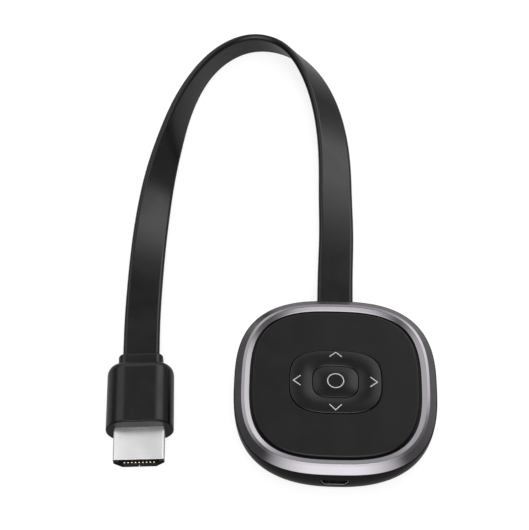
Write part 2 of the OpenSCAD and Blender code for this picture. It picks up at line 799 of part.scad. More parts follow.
module cable_clamp() {
    color(chip_black) difference() {
        union() {
            block([0, clamp_y], [clamp_w, clamp_d, clamp_t], cable_z + cord_t / 2 + fit);
            for (side = [-1, 1]) block([side * clamp_x, clamp_y],
                [clamp_foot_w, clamp_d, cord_t + 3 * fit], board_top);
        }
        for (side = [-1, 1]) rod([side * clamp_x, clamp_y], clamp_screw_r + fit, board_top - overrun, plate_z);
    }
}

module clamp_screws() {
    head_z = cable_z + cord_t / 2 + fit + clamp_t;
    color(screw_steel) for (side = [-1, 1]) {
        rod([side * clamp_x, clamp_y], clamp_head_r, head_z, head_z + clamp_head_h);
        rod([side * clamp_x, clamp_y], clamp_screw_r, head_z - clamp_screw_l, head_z + fit);
    }
}

module flat_cable() {
    path = smooth_route(cable_route);
    color(cable_black) stack([for (i = [0:len(path) - 1]) cord_ring(path, i)]);
}

module plug_collar() {
    color(cable_black) plug_place() difference() {
        stack([for (share = [0, 0.5, 1]) let (t = collar_taper * (1 - sin(90 * share)))
            [for (p = round_rect(collar_w / 2 - t, collar_h / 2 - t, collar_r - t / 2, corner_steps))
                [p.x, p.y, share < 1 ? share * collar_taper : collar_l]]]);
        along(-overrun, collar_l + overrun) square([cord_w + 2 * fit, cord_t + 2 * fit], center = true);
    }
}

module plug_overmold() {
    color(case_black) plug_place() difference() {
        stack(concat([for (k = [0:shoulder_steps])
            let (a = 90 * k / shoulder_steps, t = shoulder_in * (1 - sin(a)))
            [for (p = round_rect(body_w / 2 - t, body_h / 2 - t, body_r - t, corner_steps))
                [p.x, p.y, collar_l + shoulder_l * (1 - cos(a))]]],
            [[for (p = round_rect(body_w / 2, body_h / 2, body_r, corner_steps)) [p.x, p.y, body_end]]]));
        along(collar_l - overrun, body_end - overrun)
            square([cord_w + 2 * fit, cord_t + 2 * fit], center = true);
        along(shell_back - can_l - 2 * fit, shell_back) square([can_w + 2 * fit, can_h + 2 * fit],
            center = true);
        along(shell_back - fit, body_end + overrun) polygon(port_outline(hdmi_w + 2 * fit, hdmi_h + 2 * fit,
            hdmi_low_w + 2 * fit, hdmi_side_share));
    }
}

module plug_shell() {
    color(bright_metal) plug_place() difference() {
        along(shell_back, tip) polygon(port_outline(hdmi_w, hdmi_h, hdmi_low_w, hdmi_side_share));
        along(shell_back - overrun, tip + overrun) polygon(port_outline(hdmi_w - 2 * hdmi_wall,
            hdmi_h - 2 * hdmi_wall, hdmi_low_w - hdmi_wall, hdmi_side_share));
        along(shell_back - overrun, tip + overrun) translate([-seam_w / 2, -hdmi_h])
            square([seam_w, hdmi_h / 2 + hdmi_wall + fit]);
    }
}

module plug_insulator() {
    color(chip_black) plug_place() difference() {
        along(insulator_back, tip - mouth_recess) polygon(port_outline(hdmi_w - 2 * hdmi_wall - 2 * fit,
            hdmi_h - 2 * hdmi_wall - 2 * fit, hdmi_low_w - hdmi_wall - 2 * fit, hdmi_side_share));
        along(tip - mouth_recess - slot_deep, tip) square([slot_wide, slot_tall], center = true);
    }
}

module plug_contacts() {
    color(gold) plug_place() for (row = [[pins_up, 1], [pins_low, -1]]) for (i = [0:row[0] - 1])
        along(tip - mouth_recess - slot_deep, tip - mouth_recess - pin_recess)
            translate([(i - (row[0] - 1) / 2) * pin_pitch, row[1] * (slot_tall - pin_t) / 2])
                square([pin_w, pin_t], center = true);
}

module plug_card() {
    color(board_green) plug_place() along(card_back, insulator_back)
        square([card_w, card_t], center = true);
}

module plug_wires() {
    color(wire_red) plug_place() for (i = [0:wire_count - 1])
        translate([(i - (wire_count - 1) / 2) * wire_pitch, card_t / 2 + wire_r + fit, plug_tail_l])
            cylinder(r = wire_r, h = wire_l);
}

module plug_can() {
    color(bright_metal) plug_place() difference() {
        along(shell_back - can_l, shell_back - fit) square([can_w, can_h], center = true);
        along(shell_back - can_l - overrun, shell_back + overrun)
            square([can_w - 2 * can_t, can_h - 2 * can_t], center = true);
    }
}

module plug_tail() {
    color(cable_black) plug_place() along(0, plug_tail_l) polygon(cord_section);
}

bottom_shell();
bezel_ring();
top_cover();
case_screws();
gimbal_frame();
dpad_ring();
centre_key();
keypad_mat();
key_contacts();
key_board();
key_screws();
link_plug();
link_socket();
main_pcb();
soc_chip();
thermal_pad();
heat_spreader();
memory_chip();
flash_chip();
power_chip();
crystal();
inductors();
capacitors();
wifi_board();
wifi_can();
wifi_antenna();
micro_usb_shell();
micro_usb_tongue();
micro_usb_contacts();
cable_grommet();
cable_tail();
cable_wires();
cable_clamp();
clamp_screws();
flat_cable();
plug_collar();
plug_overmold();
plug_shell();
plug_insulator();
plug_contacts();
plug_card();
plug_wires();
plug_can();
plug_tail();
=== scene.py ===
"""Looks of a wireless display dongle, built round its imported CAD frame.

Lengths in the lists and helpers are in millimetres, in the frame's own axes: Z up, Y towards the cable's
exit, and the origin on the table under the middle of the case. Meshes are scaled to metres when they are
made.
"""

import json
import math

import bmesh
import bpy
from mathutils import Matrix, Vector


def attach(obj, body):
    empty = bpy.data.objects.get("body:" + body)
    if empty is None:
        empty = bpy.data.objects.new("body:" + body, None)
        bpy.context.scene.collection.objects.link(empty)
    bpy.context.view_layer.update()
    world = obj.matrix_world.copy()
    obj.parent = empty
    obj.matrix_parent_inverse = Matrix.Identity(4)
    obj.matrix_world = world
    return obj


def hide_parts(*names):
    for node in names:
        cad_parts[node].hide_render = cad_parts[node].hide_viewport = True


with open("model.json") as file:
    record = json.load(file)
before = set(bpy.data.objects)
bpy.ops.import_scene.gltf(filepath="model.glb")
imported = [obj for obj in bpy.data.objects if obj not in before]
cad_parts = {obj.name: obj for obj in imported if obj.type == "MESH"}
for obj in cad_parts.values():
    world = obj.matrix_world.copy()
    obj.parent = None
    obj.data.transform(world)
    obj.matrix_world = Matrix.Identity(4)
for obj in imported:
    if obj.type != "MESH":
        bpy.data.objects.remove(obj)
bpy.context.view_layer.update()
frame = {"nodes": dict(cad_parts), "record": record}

MM = 0.001
CASE = "case"
PAD = "direction_pad"
KEY = "select_key"

# Camera

CAM_AZ = math.radians(1.699)
CAM_EL = math.radians(54.655)
CAM_DIST = 434.73
CAM_AIM = Vector((-20.894, 47.26, 0))
CAM_LENS, CAM_SENSOR = 98.49, 36
CAM_NEAR, CAM_FAR = 0.01, 50


def make_camera():
    """The photograph's camera, placed by two angles and its distance to a point on the table."""
    flat = math.cos(CAM_EL)
    back = Vector((math.sin(CAM_AZ) * flat, -math.cos(CAM_AZ) * flat, math.sin(CAM_EL)))
    right = Vector((math.cos(CAM_AZ), math.sin(CAM_AZ), 0))
    up = back.cross(right)
    data = bpy.data.cameras.new("camera")
    data.lens = CAM_LENS
    data.sensor_width = CAM_SENSOR
    data.clip_start = CAM_NEAR
    data.clip_end = CAM_FAR
    cam = bpy.data.objects.new("camera", data)
    turn = Matrix((right, up, back)).transposed().to_4x4()
    cam.matrix_world = Matrix.Translation((CAM_AIM + back * CAM_DIST) * MM) @ turn
    bpy.context.scene.collection.objects.link(cam)
    bpy.context.scene.camera = cam


# Sizes

CORNERS = [(sx, sy) for sx in (-1, 1) for sy in (-1, 1)]

# The case's outline, its bulging outside, and its floor and walls
CASE_W, CASE_D, CASE_POWER = 55.8, 55.8, 2.77
BASE_IN, BELLY_H, BASE_POWER = 3.1, 8.9, 2.0
INNER_R, WALL, FLOOR_T = 5.5, 1.5, 1.4
JOINT_GAP = 0.02

# The metal ring: outer slope, crest, inner lip, groove, and the skirt inside the wall
SLOPE_LOW_Z, SLOPE_TOP_Z, CREST_Z, LIP_Z, LEDGE_Z, RIM_Z = 10.3, 11.7, 11.9, 11.5, 10.9, 10.0
SLOPE_W, CREST_W, BEZEL_W, LEDGE_END = 2.1, 0.8, 4.4, 6.2
SKIRT_IN, SKIRT_OUT, SKIRT_Z = 1.55, 2.65, 8.8
BEZEL_ROUNDS = (0.12, 0.06, 0.25, 0.3)

# The top plate
PLATE_Z, PLATE_IN, PLATE_ROUND, UNDER_Z, HOLE_ROUND = 12.0, 4.9, 0.55, 10.7, 0.12

# The pad, the select key and the gaps round them
PAD_W, PAD_D, PAD_Y, PAD_POWER = 25.2, 19.8, 0.15, 3.0
KEY_W, KEY_D, KEY_POWER = 12.4, 9.8, 3.1
KEY_GAP = 0.2
HOLE_W, HOLE_D = KEY_W + 2 * KEY_GAP, KEY_D + 2 * KEY_GAP
PAD_EDGE_Z, PAD_CREST_Z, PAD_INNER_Z, CREST_SHARE, PAD_ROUND = 12.15, 12.35, 12.0, 0.45, 0.16
FLANGE_LOW, FLANGE_TOP, FLANGE_W = 9.1, 9.7, 0.7
PAD_WEB_Z, PAD_ROOF_Z = 10.25, 11.0
PLUNGER_Z, PLUNGER_R, KEY_PLUNGER_R = 9.05, 1.2, 1.5
PLUNGER_X, PLUNGER_Y = (PAD_W + HOLE_W) / 4, (PAD_D + HOLE_D) / 4
PILLOW_LOW, PILLOW_H, PILLOW_W, PILLOW_ROUND = 12.0, 0.4, 3.6, 0.07
KEY_FLANGE_IN, KEY_FLANGE_OUT, KEY_FLANGE_T = 1.1, 0.5, 0.5

# The rocking frame's half sizes, the pins on the pad, and the posts that carry the frame
FRAME_X, FRAME_Y, FRAME_GAP = 15.1, 12.4, 0.3
HINGE_Z, PIN_R, PIN_GAP = 9.4, 0.3, 0.1
YOKE_T, YOKE_D, YOKE_LOW = 1.3, 2, 8.75

# Screws: the case's own from below, and the key board's into the top plate
SCREW_X, SCREW_Y, SCREW_R = 15.8, 15.05, 1.2
HEAD_R, HEAD_DEEP, HEAD_LEAD = 2.0, 1.9, 0.25
BOSS_R, BOSS_TOP = 2.8, 3.85
POST_R, POST_BORE, POST_LOW = 2.2, 1.05, 4.85
KEY_POST_R, KEY_POST_BORE, KEY_POST_LOW, KEY_POST_IN = 1.3, 0.65, 7.9, 1.6

# Vents in the underside
VENT_COUNT, VENT_PITCH, VENT_W, VENT_FRONT, VENT_BACK, VENT_R = 7, 2.6, 1.0, -20.3, -15.3, 0.49

# The micro-USB socket and its opening, whose front edge is flared
USB_Y, USB_Z, USB_W, USB_H, USB_LOW_W, USB_SIDE = -27.5, 6.15, 7.5, 2.6, 5.4, 0.44
USB_WALL, USB_LIP, USB_DEEP, USB_ROUNDS = 0.25, 0.07, 5.6, (0.45, 0.6, 0.6, 0.45, 0.6, 0.6)
USB_GAP, USB_FLARE = 0.2, 0.35
OPENING_ROUNDS, FLARE_ROUNDS = (0.6, 0.75, 0.75, 0.6, 0.8, 0.8), (0.8, 1.0, 1.0, 0.8, 1.0, 1.0)

# The cable's exit, its section, and the opening for it
EXIT = (0, 27.5, 6.0)
CORD_W, CORD_T, CORD_R = 10.3, 2.2, 0.99
EXIT_W, EXIT_H, EXIT_R = 12.2, 4.1, 0.5

# The plug: collar, body, metal shell, mouth and contacts
PLUG_AT, PLUG_TURN = (-54.57, 10.2, 5.5), math.atan2(0.73, 12.3)
COLLAR_W, COLLAR_H, COLLAR_L, COLLAR_R, COLLAR_TAPER, COLLAR_OVER = 12.5, 6.0, 3.7, 2.0, 0.8, 0.3
BODY_W, BODY_H, BODY_L, BODY_R, BODY_EDGE = 18.6, 11.0, 19.7, 5.3, 0.35
SHOULDER_L, SHOULDER_IN, SHOULDER_FACE = 2.7, 2.0, 0.3
HDMI_W, HDMI_H, HDMI_LOW_W, HDMI_SIDE, HDMI_WALL = 13.9, 4.45, 9.2, 0.52, 0.3
HDMI_L, HDMI_ROOT, HDMI_RIM, SEAM_W = 9.8, 4.6, 0.08, 0.15
HDMI_ROUNDS = (0.7, 0.55, 0.55, 0.7, 0.6, 0.6)
BODY_END = COLLAR_L + BODY_L
TIP = BODY_END + HDMI_L
MOUTH, SLOT_DEEP, SLOT_TALL = 0.4, 8.2, 1.9
CONTACT_ROWS = ((10, 1), (9, -1))
CONTACT_W, CONTACT_T, CONTACT_IN, NOSE_R, NOSE_L = 0.38, 0.15, 0.12, 0.2, 3

# Printed marks: each arrow's tip, the way it opens, half its width, and its length
ARROWS = [((0, 9.5), (0, -1), 1.68, 1.55), ((0, -8.85), (0, 1), 1.68, 1.7),
          ((-11.6, PAD_Y), (1, 0), 1.53, 1.95), ((11.45, PAD_Y), (-1, 0), 1.53, 1.95)]
MARK_W, MARK_LIFT, MARK_DEEP = 0.25, 0.02, 0.06
ROUND_MARK_R, ROUND_MARK_Y = 2.2, PAD_Y + 0.1

# Places of the cable: to the right and back of its exit, height above the table, and lean in degrees
ROUTE = [(0, 0, 6, 0), (0, 13.5, 6, 0), (0.5, 27, 6, 3), (0, 40.5, 5.9, 8), (0, 54, 5.8, 15),
         (-1, 67.5, 5.7, 24), (-3.5, 81, 5.6, 34), (-8, 93.5, 5.5, 46), (-15.5, 104.5, 5.4, 63),
         (-28, 107.5, 5.4, 74), (-39, 99.5, 5.4, 85), (-45.5, 87.5, 5.4, 98), (-49.5, 75, 5.4, 113),
         (-52, 61.5, 5.4, 128), (-54, 48.5, 5.4, 143), (-55, 35, 5.4, 158), (-55.5, 21.5, 5.5, 170),
         (-55.5, 8, 5.5, 177), (-55.3, -5, 5.5, 180), (-54.57, -17.3, 5.5, 180)]
ROUTE_STEPS = 12


# Loops and profiles

NEARLY_STRAIGHT = math.radians(89)


def power(v, e):
    """A number with its sign kept, raised to a power."""
    return math.copysign(abs(v) ** e, v)


def mix(a, b, share):
    """A value at a share of the way from one to another."""
    return a + (b - a) * share


def soft_loop(half_x, half_y, e, centre_y, z, count=192):
    """Soft-cornered loop of given half sizes at one height."""
    turns = [2 * math.pi * i / count for i in range(count)]
    return [(half_x * power(math.cos(a), 2 / e), centre_y + half_y * power(math.sin(a), 2 / e), z)
            for a in turns]


def case_loop(inset, z, count=256):
    """The case's outline moved in by an even distance, at one height."""
    points = []
    for i in range(count):
        a = 2 * math.pi * i / count
        across = power(math.cos(a), 2 - 2 / CASE_POWER) / CASE_W
        along = power(math.sin(a), 2 - 2 / CASE_POWER) / CASE_D
        size = math.hypot(across, along)
        points.append((CASE_W / 2 * power(math.cos(a), 2 / CASE_POWER) - inset * across / size,
                       CASE_D / 2 * power(math.sin(a), 2 / CASE_POWER) - inset * along / size, z))
    return points


def arc(centre, r, start, end, steps):
    """Points on an arc, with angles in degrees."""
    turns = [math.radians(mix(start, end, k / steps)) for k in range(steps + 1)]
    return [(centre[0] + r * math.cos(a), centre[1] + r * math.sin(a)) for a in turns]


def cos_sin(start, end, step):
    """Cosine and sine of each angle in degrees from start to end."""
    last = end + (1 if step > 0 else -1)
    return [(math.cos(math.radians(a)), math.sin(math.radians(a))) for a in range(start, last, step)]


def fillet(points, radii, closed=False, steps=5):
    """A line of points with its corners rounded. Each point has a radius, and 0 keeps the corner."""
    out = []
    n = len(points)
    for i, (x, y) in enumerate(points):
        r = radii[i]
        if not r or (not closed and i in (0, n - 1)):
            out.append((x, y))
            continue
        here = Vector((x, y))
        before = (Vector(points[(i - 1) % n]) - here).normalized()
        after = (Vector(points[(i + 1) % n]) - here).normalized()
        half = before.angle(after) / 2
        if half > NEARLY_STRAIGHT:
            out.append((x, y))
            continue
        reach = r / math.tan(half)
        middle = here + (before + after).normalized() * (r / math.sin(half))
        a, b = here + before * reach - middle, here + after * reach - middle
        sweep = a.angle_signed(b)
        for k in range(steps + 1):
            turn = -sweep * k / steps
            out.append((middle.x + a.x * math.cos(turn) - a.y * math.sin(turn),
                        middle.y + a.x * math.sin(turn) + a.y * math.cos(turn)))
    return out


def offset(points, d):
    """A closed outline moved in by a distance, with its corners kept sharp. Points run clockwise."""
    out = []
    n = len(points)
    for i in range(n):
        a, b, c = (Vector(points[(i + k) % n]) for k in (-1, 0, 1))
        u, v = (b - a).normalized(), (c - b).normalized()
        nu, nv = Vector((u.y, -u.x)), Vector((v.y, -v.x))
        m = (nu + nv).normalized()
        p = b + m * (d / m.dot(nu))
        out.append((p.x, p.y))
    return out


def supported(points, reach):
    """A closed outline with a point added near each end of its long straight stretches."""
    out = []
    n = len(points)
    for i in range(n):
        a, b = Vector(points[i]), Vector(points[(i + 1) % n])
        out.append(tuple(a))
        if (b - a).length > 4 * reach:
            step = (b - a).normalized() * reach
            out += [tuple(a + step), tuple(b - step)]
    return out


def round_rect(half_x, half_y, r, steps=8, reach=0.15):
    """Rectangle with round corners, clockwise, with a point on the straight beside each corner."""
    points = []
    for sx, sy, start, along in ((-1, -1, 270, (1, 0)), (-1, 1, 180, (0, -1)), (1, 1, 90, (-1, 0)),
                                 (1, -1, 0, (0, 1))):
        corner = arc((sx * (half_x - r), sy * (half_y - r)), r, start, start - 90, steps)
        leave = (-along[1], along[0])
        points.append((corner[0][0] + along[0] * reach, corner[0][1] + along[1] * reach))
        points += corner
        points.append((corner[-1][0] + leave[0] * reach, corner[-1][1] + leave[1] * reach))
    return points


def port(w, h, low_w, side):
    """Outline of a socket or plug shell whose lower corners are cut off, wide side up, clockwise."""
    return [(-w / 2, h / 2 - h * side), (-w / 2, h / 2), (w / 2, h / 2), (w / 2, h / 2 - h * side),
            (low_w / 2, -h / 2), (-low_w / 2, -h / 2)]


def port_loop(outline, radii, inset, least=0.2):
    """Such an outline moved in, with its corners rounded."""
    if inset:
        outline, radii = offset(outline, inset), [max(r - inset, least) for r in radii]
    return fillet(outline, radii, closed=True, steps=6)


# Meshes

def finish_mesh(name, bm, body, material, nodes=(), sharp=35, place=None):
    """Makes an object of a mesh in millimetres, shades it, and lets it ride on its body."""
    bmesh.ops.recalc_face_normals(bm, faces=bm.faces)
    mesh = bpy.data.meshes.new(name)
    bm.to_mesh(mesh)
    bm.free()
    if place is not None:
        mesh.transform(place)
    mesh.transform(Matrix.Scale(MM, 4))
    for f in mesh.polygons:
        f.use_smooth = True
    mesh.set_sharp_from_angle(angle=math.radians(sharp))
    obj = bpy.data.objects.new(name, mesh)
    bpy.context.scene.collection.objects.link(obj)
    mesh.materials.append(material)
    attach(obj, body)
    if nodes:
        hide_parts(*nodes)
    return obj


def skin(bm, loops, closed=False, caps=True):
    """Skins loops that have the same number of points. closed joins the last loop to the first."""
    rows = [[bm.verts.new(p) for p in loop] for loop in loops]
    n = len(rows[0])
    for j in range(len(rows) if closed else len(rows) - 1):
        a, b = rows[j], rows[(j + 1) % len(rows)]
        for i in range(n):
            k = (i + 1) % n
            bm.faces.new((a[i], a[k], b[k], b[i]))
    if caps and not closed:
        bm.faces.new(rows[0])
        bm.faces.new(rows[-1])


def level(points, z):
    """A flat outline at a height."""
    return [(x, y, z) for x, y in points]


def circle(at, r, z, count=32):
    """Round loop about a place, at one height."""
    return [(at[0] + r * math.cos(2 * math.pi * i / count), at[1] + r * math.sin(2 * math.pi * i / count), z)
            for i in range(count)]


def rod(bm, at, r, low, high, count=32):
    """Upright rod between two heights."""
    skin(bm, [circle(at, r, low, count), circle(at, r, high, count)])


def tube(bm, at, r, bore, low, high, count=32):
    """Upright tube between two heights."""
    skin(bm, [circle(at, r, low, count), circle(at, r, high, count), circle(at, bore, high, count),
              circle(at, bore, low, count)], closed=True)


def block(bm, low, high):
    """Block between two corners."""
    outline = [(low[0], low[1]), (low[0], high[1]), (high[0], high[1]), (high[0], low[1])]
    skin(bm, [level(outline, low[2]), level(outline, high[2])])


def facing_front(at):
    """Place of a shape that is drawn X right and Y up. Its Z goes towards the front."""
    return Matrix.Translation(at) @ Matrix.Rotation(math.radians(90), 4, "X")


def plug_place():
    """Place of the plug, drawn in the same way. Its Z goes from the cable's far end to the plug's tip."""
    upright = Matrix.Rotation(math.radians(90), 4, "X")
    return Matrix.Translation(PLUG_AT) @ Matrix.Rotation(PLUG_TURN, 4, "Z") @ upright


def join(bm, extra, place):
    """Puts a mesh in its place, adds it to another, and frees it."""
    extra.transform(place)
    mesh = bpy.data.meshes.new("joined")
    extra.to_mesh(mesh)
    extra.free()
    bm.from_mesh(mesh)
    bpy.data.meshes.remove(mesh)


def cut(bm, cutter):
    """Takes one closed mesh out of another, and gives the result as a new mesh."""
    pair = []
    for name, b in (("cut_from", bm), ("cutter", cutter)):
        bmesh.ops.recalc_face_normals(b, faces=b.faces)
        mesh = bpy.data.meshes.new(name)
        b.to_mesh(mesh)
        b.free()
        obj = bpy.data.objects.new(name, mesh)
        bpy.context.scene.collection.objects.link(obj)
        pair.append(obj)
    mod = pair[0].modifiers.new("cut", "BOOLEAN")
    mod.operation = "DIFFERENCE"
    mod.solver = "EXACT"
    mod.use_self = True
    mod.object = pair[1]
    bpy.context.view_layer.update()
    result = bmesh.new()
    result.from_mesh(pair[0].evaluated_get(bpy.context.evaluated_depsgraph_get()).to_mesh())
    for obj in pair:
        mesh = obj.data
        bpy.data.objects.remove(obj)
        bpy.data.meshes.remove(mesh)
    return result


# Materials

class Tree:
    """A short way to write a node tree."""

    def __init__(self, tree):
        self.tree = tree
        self.tree.nodes.clear()

    def add(self, kind, inputs=None, **settings):
        """Adds a node. An input is a constant or the socket that feeds it."""
        node = self.tree.nodes.new(kind)
        for name, value in settings.items():
            setattr(node, name, value)
        for name, value in (inputs or {}).items():
            if isinstance(value, bpy.types.NodeSocket):
                self.tree.links.new(value, node.inputs[name])
            else:
                node.inputs[name].default_value = value
        return node

    def math(self, operation, a, b=0.0):
        return self.add("ShaderNodeMath", {0: a, 1: b}, operation=operation).outputs[0]

    def product(self, first, *others):
        for value in others:
            first = self.math("MULTIPLY", first, value)
        return first

    def span(self, value, low, high, to_low=0.0, to_high=1.0, smooth=True):
        """Maps a value from one range to another and clamps it."""
        inputs = {"Value": value, "From Min": low, "From Max": high, "To Min": to_low, "To Max": to_high}
        kind = "SMOOTHSTEP" if smooth else "LINEAR"
        return self.add("ShaderNodeMapRange", inputs, interpolation_type=kind).outputs[0]

    def noise(self, place, scale, detail=3.0, rough=0.55):
        """Noise whose scale is in cells per metre."""
        inputs = {"Vector": place, "Scale": scale, "Detail": detail, "Roughness": rough}
        return self.add("ShaderNodeTexNoise", inputs).outputs[0]


BUMP_DEPTH = 0.00002
LEAST_ROUGH = 0.02


def surface(name, colour, rough, metal=0.0, ior=1.45, grain=0.0, grain_scale=9000.0, spread=0.04, tint=None,
            rough_spread=0.05, broad=120.0, stretch=(1, 1, 1)):
    """A procedural material: fine grain in its bump, and broad, faint changes in its colour and gloss."""
    mat = bpy.data.materials.new(name)
    mat.use_nodes = True
    t = Tree(mat.node_tree)
    place = t.add("ShaderNodeTexCoord").outputs["Object"]
    stretched = t.add("ShaderNodeMapping", {"Vector": place, "Scale": stretch}).outputs[0]
    wide = t.noise(place, broad, 4.0)
    fine = t.noise(stretched, grain_scale, 2.0)
    low = [c * (1 - spread) for c in colour]
    high = [min(1, c * (1 + spread)) for c in (tint or colour)]
    ramp = t.add("ShaderNodeMix", {"Factor": t.span(wide, 0.3, 0.7), 6: (*low, 1), 7: (*high, 1)},
                 data_type="RGBA")
    both = t.math("ADD", t.math("MULTIPLY", wide, 0.5), t.math("MULTIPLY", fine, 0.5))
    gloss = t.span(both, 0.35, 0.65, max(LEAST_ROUGH, rough - rough_spread), rough + rough_spread)
    inputs = {"Base Color": ramp.outputs[2], "Roughness": gloss, "Metallic": metal, "IOR": ior}
    if grain:
        bump = t.add("ShaderNodeBump", {"Height": fine, "Strength": grain, "Distance": BUMP_DEPTH})
        inputs["Normal"] = bump.outputs[0]
    shader = t.add("ShaderNodeBsdfPrincipled", inputs)
    t.add("ShaderNodeOutputMaterial", {"Surface": shader.outputs[0]})
    return mat


def make_materials():
    """Materials by name: those of the record's slots, and a few more for faces that are seen."""
    mats = {}

    def add(name, *look, **more):
        mats[name] = surface(name, *look, **more)

    add("case_gloss", (0.01, 0.01, 0.0102), 0.16, ior=1.1, grain=0.05, spread=0.1)
    add("plug_black", (0.003, 0.003, 0.003), 0.26, ior=1.42, grain=0.1, grain_scale=7000)
    add("plug_face", (0.004, 0.004, 0.004), 0.4, ior=1.3, grain=0.1, grain_scale=7000)
    add("cover_satin", (0.003, 0.003, 0.003), 0.34, ior=1.38, grain=0.12, grain_scale=8000)
    add("key_satin", (0.006, 0.006, 0.0061), 0.24, ior=1.4, grain=0.1, grain_scale=8000)
    add("bezel_metal", (0.255, 0.243, 0.261), 0.17, metal=1.0, grain=0.1, grain_scale=11000, spread=0.03,
        rough_spread=0.02)
    add("cable_jacket", (0.003, 0.003, 0.0031), 0.24, ior=1.42, grain=0.1, grain_scale=6000, spread=0.08)
    add("plug_metal", (0.86, 0.86, 0.87), 0.37, metal=1.0, grain=0.08, grain_scale=6000, spread=0.02)
    # Painted shade: a dark metal for the inside and rim of the plug's shell.
    add("shell_painted_shade", (0.09, 0.09, 0.092), 0.45, metal=1.0, grain=0.1)
    add("socket_metal", (0.3, 0.3, 0.31), 0.25, metal=1.0, grain=0.1)
    add("contact_gold", (0.93, 0.82, 0.6), 0.22, metal=1.0, grain=0.05)
    add("black_insulator", (0.012, 0.012, 0.013), 0.4, grain=0.3)
    add("board_green", (0.02, 0.13, 0.06), 0.35, tint=(0.03, 0.19, 0.08), broad=900)
    add("board_blue", (0.02, 0.06, 0.16), 0.35, tint=(0.03, 0.09, 0.22), broad=900)
    add("chip_black", (0.02, 0.02, 0.021), 0.55, grain=0.5)
    add("ceramic_tan", (0.42, 0.33, 0.22), 0.5, tint=(0.5, 0.42, 0.3), broad=2000)
    add("silicone_grey", (0.3, 0.31, 0.33), 0.6, grain=0.3)
    add("frame_white", (0.7, 0.69, 0.64), 0.42, grain=0.2)
    add("screw_steel", (0.5, 0.5, 0.52), 0.3, metal=1.0, grain=0.3, stretch=(1, 8, 1))
    add("spreader_metal", (0.7, 0.7, 0.72), 0.35, metal=1.0, grain=0.4, stretch=(1, 12, 1))
    add("thermal_pink", (0.55, 0.3, 0.36), 0.8, grain=0.6, grain_scale=4000)
    add("wire_copper", (0.6, 0.27, 0.14), 0.3, metal=1.0, grain=0.2)
    add("mark_grey", (0.62, 0.62, 0.62), 0.5, grain=0.2, spread=0.05)
    return mats


# Cable and plug

def blend4(q, t):
    """Point of a uniform cubic B-spline from its four points."""
    weights = ((1 - t) ** 3, 3 * t ** 3 - 6 * t ** 2 + 4, -3 * t ** 3 + 3 * t ** 2 + 3 * t + 1, t ** 3)
    return [sum(w * p[k] for w, p in zip(weights, q)) / 6 for k in range(4)]


def smooth_route():
    """The cable's path, which starts and ends on the route's end points."""
    first = [2 * a - b for a, b in zip(ROUTE[0], ROUTE[1])]
    last = [2 * a - b for a, b in zip(ROUTE[-1], ROUTE[-2])]
    q = [first, *ROUTE, last]
    spans = len(ROUTE) - 1
    path = [blend4(q[i:i + 4], k / ROUTE_STEPS) for i in range(spans) for k in range(ROUTE_STEPS)]
    path.append(blend4(q[spans - 1:spans + 3], 1))
    return [(x, EXIT[1] + y, z, lean) for x, y, z, lean in path]


def make_cable(mats):
    """The flat cable, with its centre line and its length in metres."""
    path = smooth_route()
    section = round_rect(CORD_W / 2, CORD_T / 2, CORD_R, steps=6)
    rings = []
    for i, (x, y, z, lean) in enumerate(path):
        a, b = path[max(i - 1, 0)], path[min(i + 1, len(path) - 1)]
        ahead = Vector((b[0] - a[0], b[1] - a[1])).normalized()
        left = Vector((-ahead.y, ahead.x, 0))
        turn = math.radians(lean)
        across = left * math.cos(turn) + Vector((0, 0, math.sin(turn)))
        through = Vector((0, 0, math.cos(turn))) - left * math.sin(turn)
        rings.append([tuple(Vector((x, y, z)) + across * u + through * v) for u, v in section])
    bm = bmesh.new()
    skin(bm, rings)
    centre = [(x * MM, y * MM, z * MM) for x, y, z, lean in path]
    length = sum(math.dist(a, b) for a, b in zip(centre, centre[1:]))
    obj = finish_mesh("cable", bm, CASE, mats["cable_jacket"], ["flat_cable"])
    return obj, centre, length


def make_collar(mats):
    """The plug's strain relief. Its end at the cable is rounded, and its other end is inside the body."""
    steps = 8
    loops = []
    for k in range(steps + 1):
        a = math.pi / 2 * k / steps
        inset = COLLAR_TAPER * (1 - math.sin(a))
        outline = round_rect(COLLAR_W / 2 - inset, COLLAR_H / 2 - inset, COLLAR_R - inset / 2)
        loops.append(level(outline, COLLAR_TAPER * (1 - math.cos(a))))
    loops.append(level(round_rect(COLLAR_W / 2, COLLAR_H / 2, COLLAR_R), COLLAR_L + COLLAR_OVER))
    bm = bmesh.new()
    skin(bm, loops)
    return finish_mesh("strain_relief", bm, CASE, mats["plug_black"], ["plug_collar"],
                       place=plug_place())


def body_loop(inset, z):
    """The plug body's outline moved in, at one height."""
    return level(round_rect(BODY_W / 2 - inset, BODY_H / 2 - inset, BODY_R - inset), z)


def make_plug_body(mats):
    """The plug's body. Its end face, round the metal shell, has its own material."""
    loops = [body_loop(SHOULDER_IN + SHOULDER_FACE, COLLAR_L)]
    steps = 14
    for k in range(steps + 1):
        a = math.pi / 2 * k / steps
        loops.append(body_loop(SHOULDER_IN * (1 - math.sin(a)), COLLAR_L + SHOULDER_L * (1 - math.cos(a))))
    loops.append(body_loop(0, BODY_END - 2 * BODY_EDGE))
    steps = 4
    for k in range(steps + 1):
        a = math.pi / 2 * k / steps
        loops.append(body_loop(BODY_EDGE * (1 - math.cos(a)), BODY_END - BODY_EDGE * (1 - math.sin(a))))
    loops.append(body_loop(BODY_EDGE + 0.2, BODY_END))
    bm = bmesh.new()
    skin(bm, loops)
    for f in bm.faces:
        if f.calc_center_median().z > BODY_END - BODY_EDGE / 2:
            f.material_index = 1
    body = finish_mesh("plug_body", bm, CASE, mats["plug_black"], ["plug_overmold"],
                       place=plug_place())
    body.data.materials.append(mats["plug_face"])
    return body


